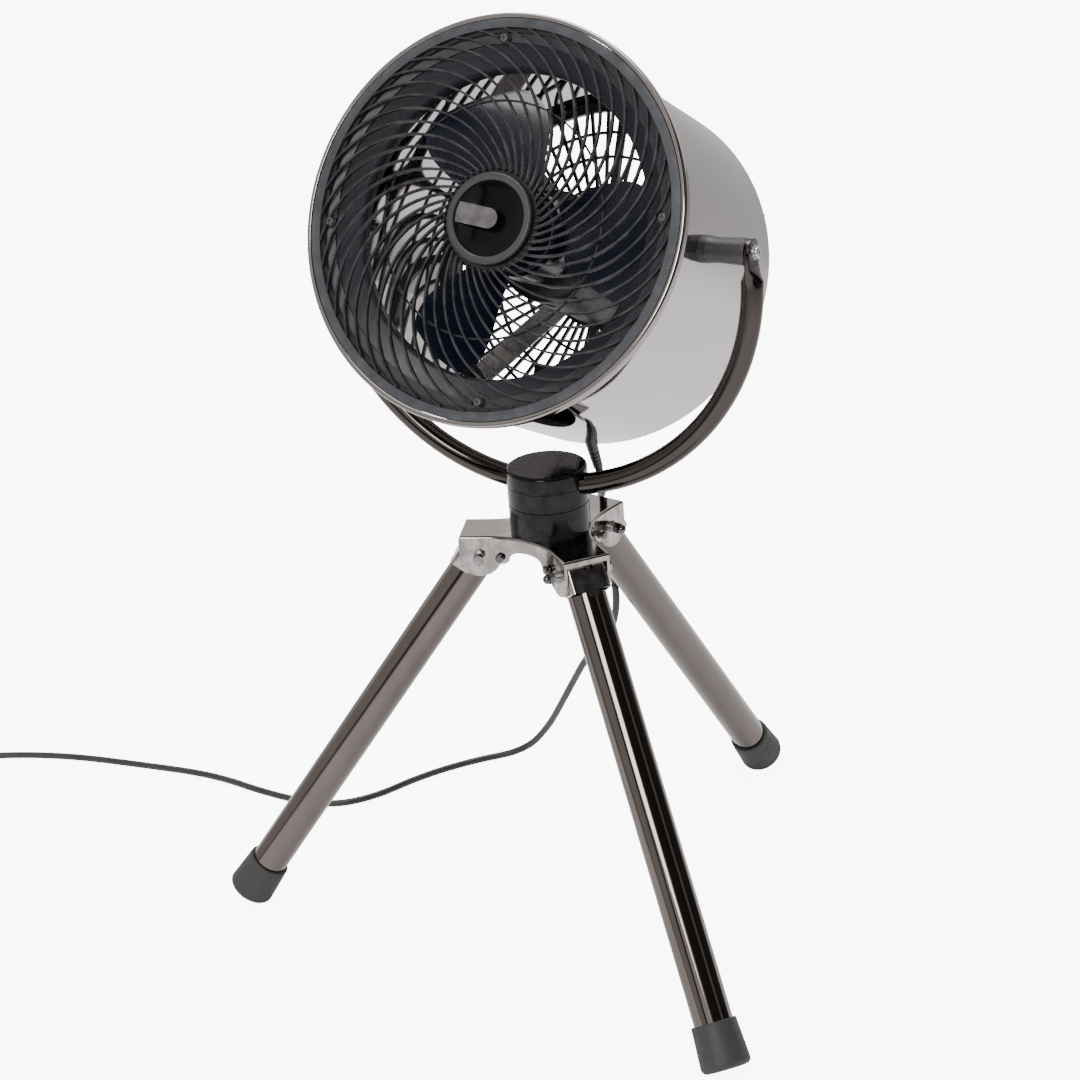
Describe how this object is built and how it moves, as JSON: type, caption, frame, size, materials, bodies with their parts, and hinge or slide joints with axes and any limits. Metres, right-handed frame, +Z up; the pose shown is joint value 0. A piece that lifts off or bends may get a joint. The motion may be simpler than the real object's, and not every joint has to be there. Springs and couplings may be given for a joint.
{
  "type": "drum fan on a folding tripod",
  "caption": "Drum fan in a plated steel shell with swept front ribs, hung in a U-shaped yoke on a folding tripod with rubber feet; it pans, tilts and has a mains cord.",
  "frame": {"origin": "middle of the footprint on the floor, with the free cord left out", "axes": "+Z up from the floor; the front leg points along -Y; +X is to the right when seen from the front leg"},
  "size_m": [0.8366, 0.8899, 0.7906],
  "materials": {
    "drum_plating": "dark nickel plating, polished to a mirror",
    "bright_chrome": "bright chrome plating",
    "leg_plating": "gunmetal chrome plating, polished",
    "head_plating": "gunmetal chrome plating on pressed steel",
    "bezel_plastic": "satin dark grey moulding",
    "grille_plastic": "satin black moulding",
    "hub_gloss": "high gloss black moulding",
    "badge_gloss": "glossy black moulding",
    "blade_plastic": "glossy dark navy moulding",
    "foot_rubber": "dull black rubber",
    "guard_plastic": "black moulding",
    "zinc_steel": "zinc plated steel",
    "motor_steel": "black painted pressed steel",
    "laminated_steel": "laminated core",
    "copper_winding": "varnished copper",
    "washer_nylon": "natural nylon",
    "cord_pvc": "black flexible PVC sheath",
    "plug_plastic": "black moulded plug with steel pins",
    "spacer_plastic": "satin black moulding"
  },
  "bodies": {
    "stand": {"tripod_head": "head_plating", "hub_base": "hub_gloss", "hub_base_screws": "zinc_steel", "friction_washer": "washer_nylon", "hinge_bolts": "bright_chrome", "hinge_nuts": "bright_chrome", "hinge_washers": "zinc_steel", "ear_rivets": "head_plating", "cord_lower": "cord_pvc", "cord_coil": "cord_pvc", "plug": "plug_plastic"},
    "front_leg": {"front_leg_tube": "leg_plating", "front_leg_bracket": "head_plating", "front_leg_foot": "foot_rubber"},
    "right_leg": {"right_leg_tube": "leg_plating", "right_leg_bracket": "head_plating", "right_leg_foot": "foot_rubber"},
    "left_leg": {"left_leg_tube": "leg_plating", "left_leg_bracket": "head_plating", "left_leg_foot": "foot_rubber"},
    "yoke": {"yoke_tube": "leg_plating", "hub_shell": "hub_gloss", "hub_cap": "hub_gloss", "hub_clamp_screws": "zinc_steel", "swivel_bolt": "zinc_steel", "swivel_nut": "zinc_steel", "pivot_washers": "zinc_steel"},
    "drum": {"drum_shell": "drum_plating", "front_rim": "drum_plating", "front_shroud": "bezel_plastic", "front_grille": "grille_plastic", "grille_screws": "motor_steel", "badge_ring": "grille_plastic", "badge_dish": "badge_gloss", "badge_tab": "badge_gloss", "rear_grille": "guard_plastic", "rear_grille_screws": "zinc_steel", "motor_bracket": "zinc_steel", "motor_rear_cover": "motor_steel", "motor_front_cover": "motor_steel", "bearings": "zinc_steel", "stator": "laminated_steel", "stator_coils": "copper_winding", "motor_screws": "zinc_steel", "control_box": "guard_plastic", "speed_switch": "guard_plastic", "capacitor": "guard_plastic", "terminal_block": "washer_nylon", "pivot_spacers": "spacer_plastic", "pivot_screws": "bright_chrome", "pivot_nuts": "zinc_steel", "strain_relief": "cord_pvc", "cord_upper": "cord_pvc"},
    "rotor": {"motor_shaft": "zinc_steel", "rotor_core": "laminated_steel", "impeller": "blade_plastic", "impeller_nut": "hub_gloss"},
    "knob": {"speed_knob": "guard_plastic"}
  },
  "joints": [
    {"name": "pan", "type": "hinge", "parent": "stand", "child": "yoke", "pos_m": [0, 0.05165, 0.388], "axis": [0, 0, 1], "range_deg": [-60, 60], "deforming": ["cord_lower"]},
    {"name": "tilt", "type": "hinge", "parent": "yoke", "child": "drum", "pos_m": [0, 0.05165, 0.6143], "axis": [0.673, -0.7396, 0], "range_deg": [-2, 57], "deforming": ["cord_upper"]},
    {"name": "front_leg_fold", "type": "hinge", "parent": "stand", "child": "front_leg", "pos_m": [0, -0.00725, 0.345], "axis": [1, 0, 0], "range_deg": [0, 35]},
    {"name": "right_leg_fold", "type": "hinge", "parent": "stand", "child": "right_leg", "pos_m": [0.05101, 0.0811, 0.345], "axis": [-0.5, 0.866, 0], "range_deg": [0, 35]},
    {"name": "left_leg_fold", "type": "hinge", "parent": "stand", "child": "left_leg", "pos_m": [-0.05101, 0.0811, 0.345], "axis": [-0.5, -0.866, 0], "range_deg": [0, 35]},
    {"name": "fan_spin", "type": "hinge", "parent": "drum", "child": "rotor", "pos_m": [0, 0.05165, 0.6143], "axis": [-0.6568, -0.5977, 0.4597], "continuous": true},
    {"name": "speed_turn", "type": "hinge", "parent": "drum", "child": "knob", "pos_m": [0.0664, 0.11207, 0.44621], "axis": [0.6568, 0.5977, -0.4597], "range_deg": [0, 120]}
  ]
}
